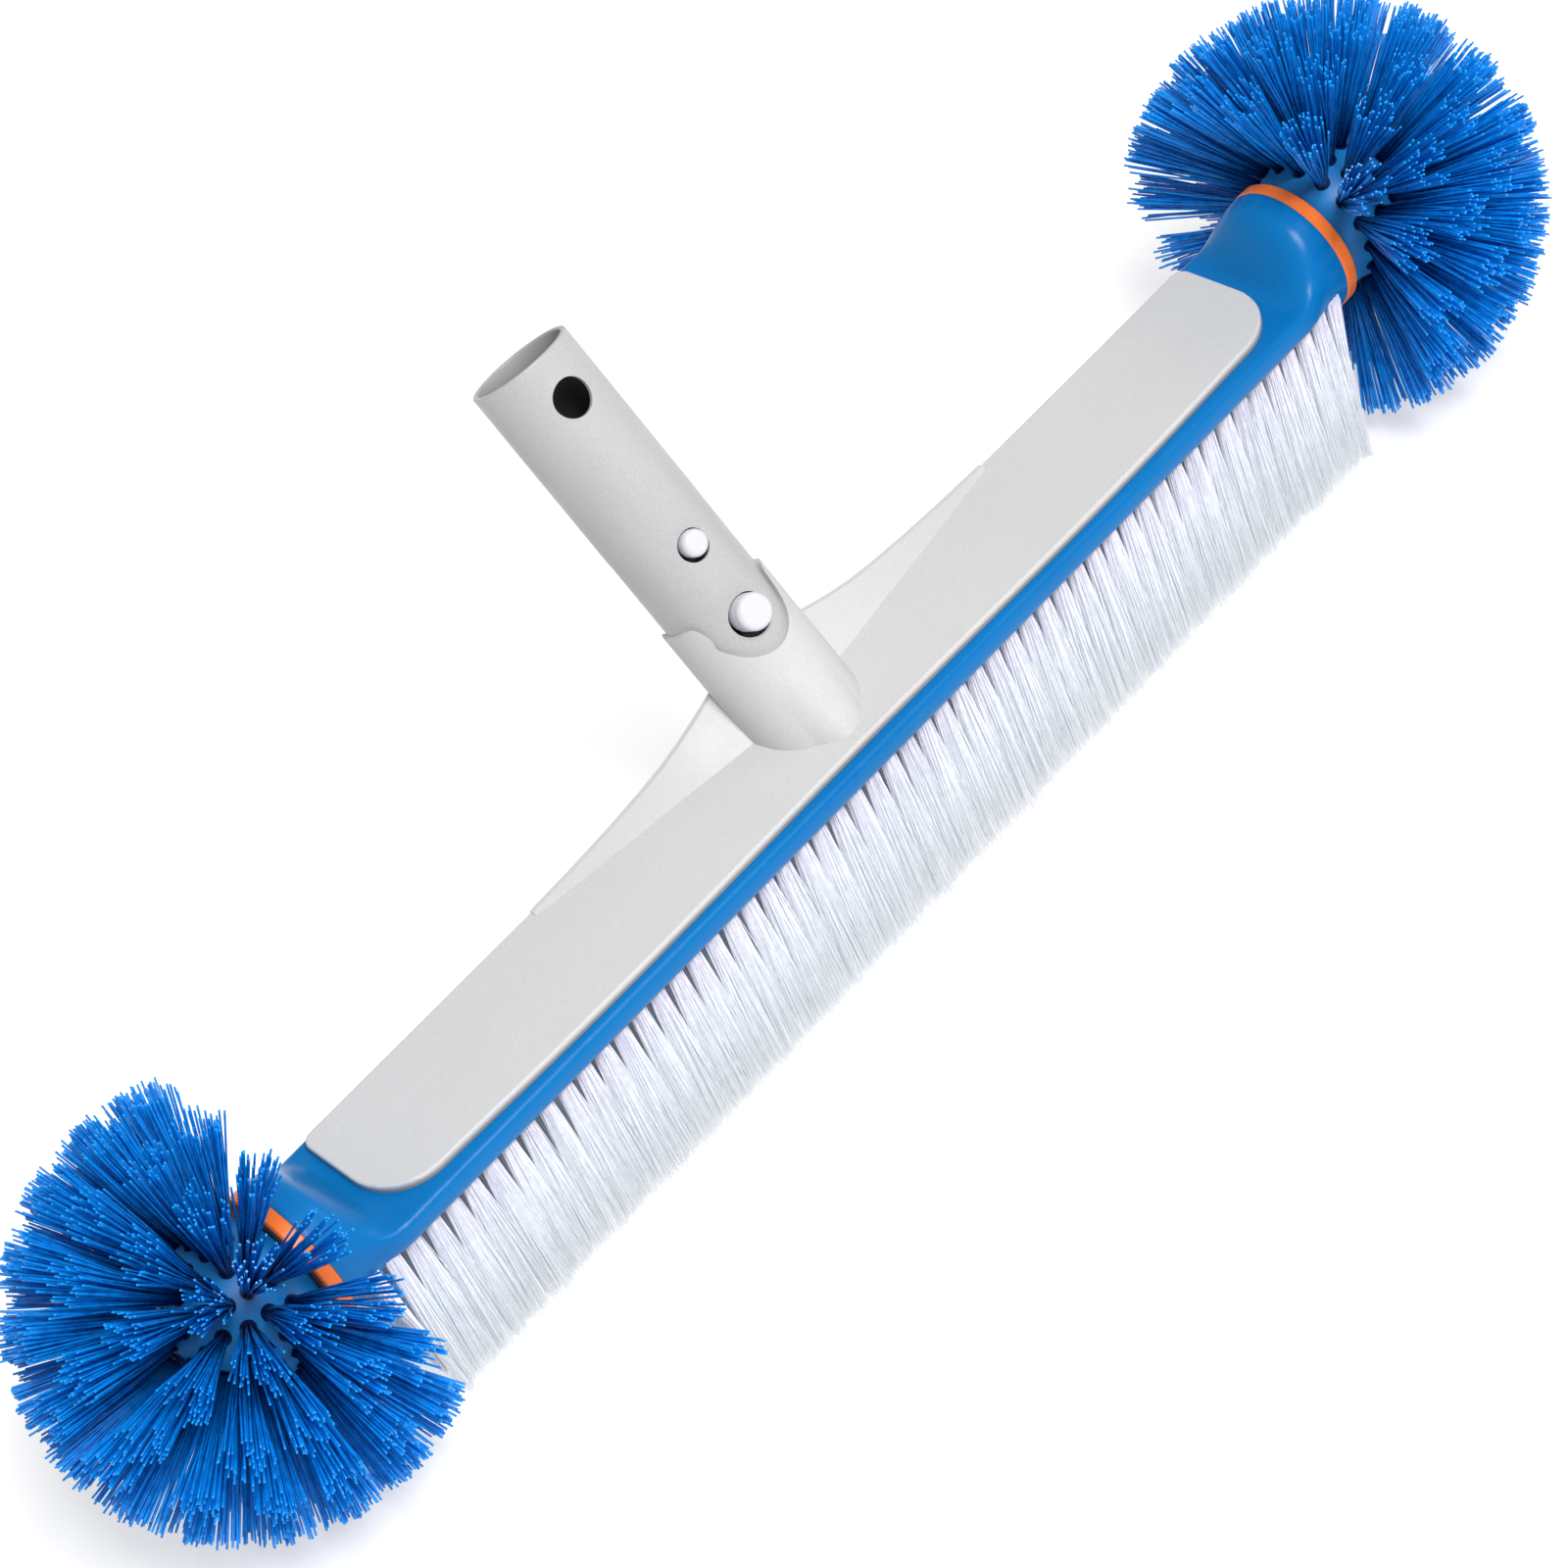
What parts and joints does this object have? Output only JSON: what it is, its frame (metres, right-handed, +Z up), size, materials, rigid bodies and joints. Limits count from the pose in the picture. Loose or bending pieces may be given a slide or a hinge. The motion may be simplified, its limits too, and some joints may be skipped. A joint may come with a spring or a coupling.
{
  "type": "pool wall brush",
  "caption": "Long pool scrub brush with white bristle rows, a round blue bristle ball at each end, a tilted tube handle and sprung clip buttons.",
  "frame": {"origin": "centre of the scrub face, on the plane of the white bristle tips", "axes": "+X along the beam, -Y the front, +Z up from the scrub face; the handle leans towards +Y"},
  "size_m": [0.5212, 0.1316, 0.1642],
  "materials": {
    "deck_plastic": "pale grey satin with a fine speckle",
    "tube_plastic": "silver grey satin, lightly grained",
    "clip_plastic": "smooth white",
    "blue_plastic": "smooth semi-gloss blue",
    "white_bristle": "fine white filaments",
    "blue_bristle": "blue filaments with paler tips",
    "orange_ring": "smooth orange",
    "axle_steel": "turned",
    "washer_plastic": "plain"
  },
  "bodies": {
    "beam": {"deck_cover": "deck_plastic", "handle_tube": "tube_plastic", "clip_bridge": "clip_plastic", "brush_block": "blue_plastic", "bristle_row_1": "white_bristle", "bristle_row_2": "white_bristle", "bristle_row_3": "white_bristle", "bristle_row_4": "white_bristle", "bristle_row_5": "white_bristle", "left_accent_ring": "orange_ring", "right_accent_ring": "orange_ring", "left_hub_axle": "axle_steel", "right_hub_axle": "axle_steel", "left_hub_washer": "washer_plastic", "right_hub_washer": "washer_plastic"},
    "left_ball": {"left_ball_hub": "blue_plastic", "left_ball_bristles": "blue_bristle"},
    "right_ball": {"right_ball_hub": "blue_plastic", "right_ball_bristles": "blue_bristle"},
    "front_leg": {"front_clip_leg": "clip_plastic"},
    "rear_leg": {"rear_clip_leg": "clip_plastic"}
  },
  "joints": [
    {"name": "left_ball_spin", "type": "hinge", "parent": "beam", "child": "left_ball", "pos_m": [-0.203, 0, 0.0576], "axis": [1, 0, 0], "continuous": true},
    {"name": "right_ball_spin", "type": "hinge", "parent": "beam", "child": "right_ball", "pos_m": [0.203, 0, 0.0576], "axis": [1, 0, 0], "continuous": true},
    {"name": "front_button_press", "type": "hinge", "parent": "beam", "child": "front_leg", "pos_m": [0, 0.04313, 0.13011], "axis": [1, 0, 0], "range_deg": [0, 5.6], "stiffness_Nm_per_rad": 3, "springref_deg": -2.29},
    {"name": "rear_button_press", "type": "hinge", "parent": "beam", "child": "rear_leg", "pos_m": [0, 0.04743, 0.12758], "axis": [-1, 0, 0], "range_deg": [0, 5.6], "stiffness_Nm_per_rad": 3, "springref_deg": -2.29}
  ]
}
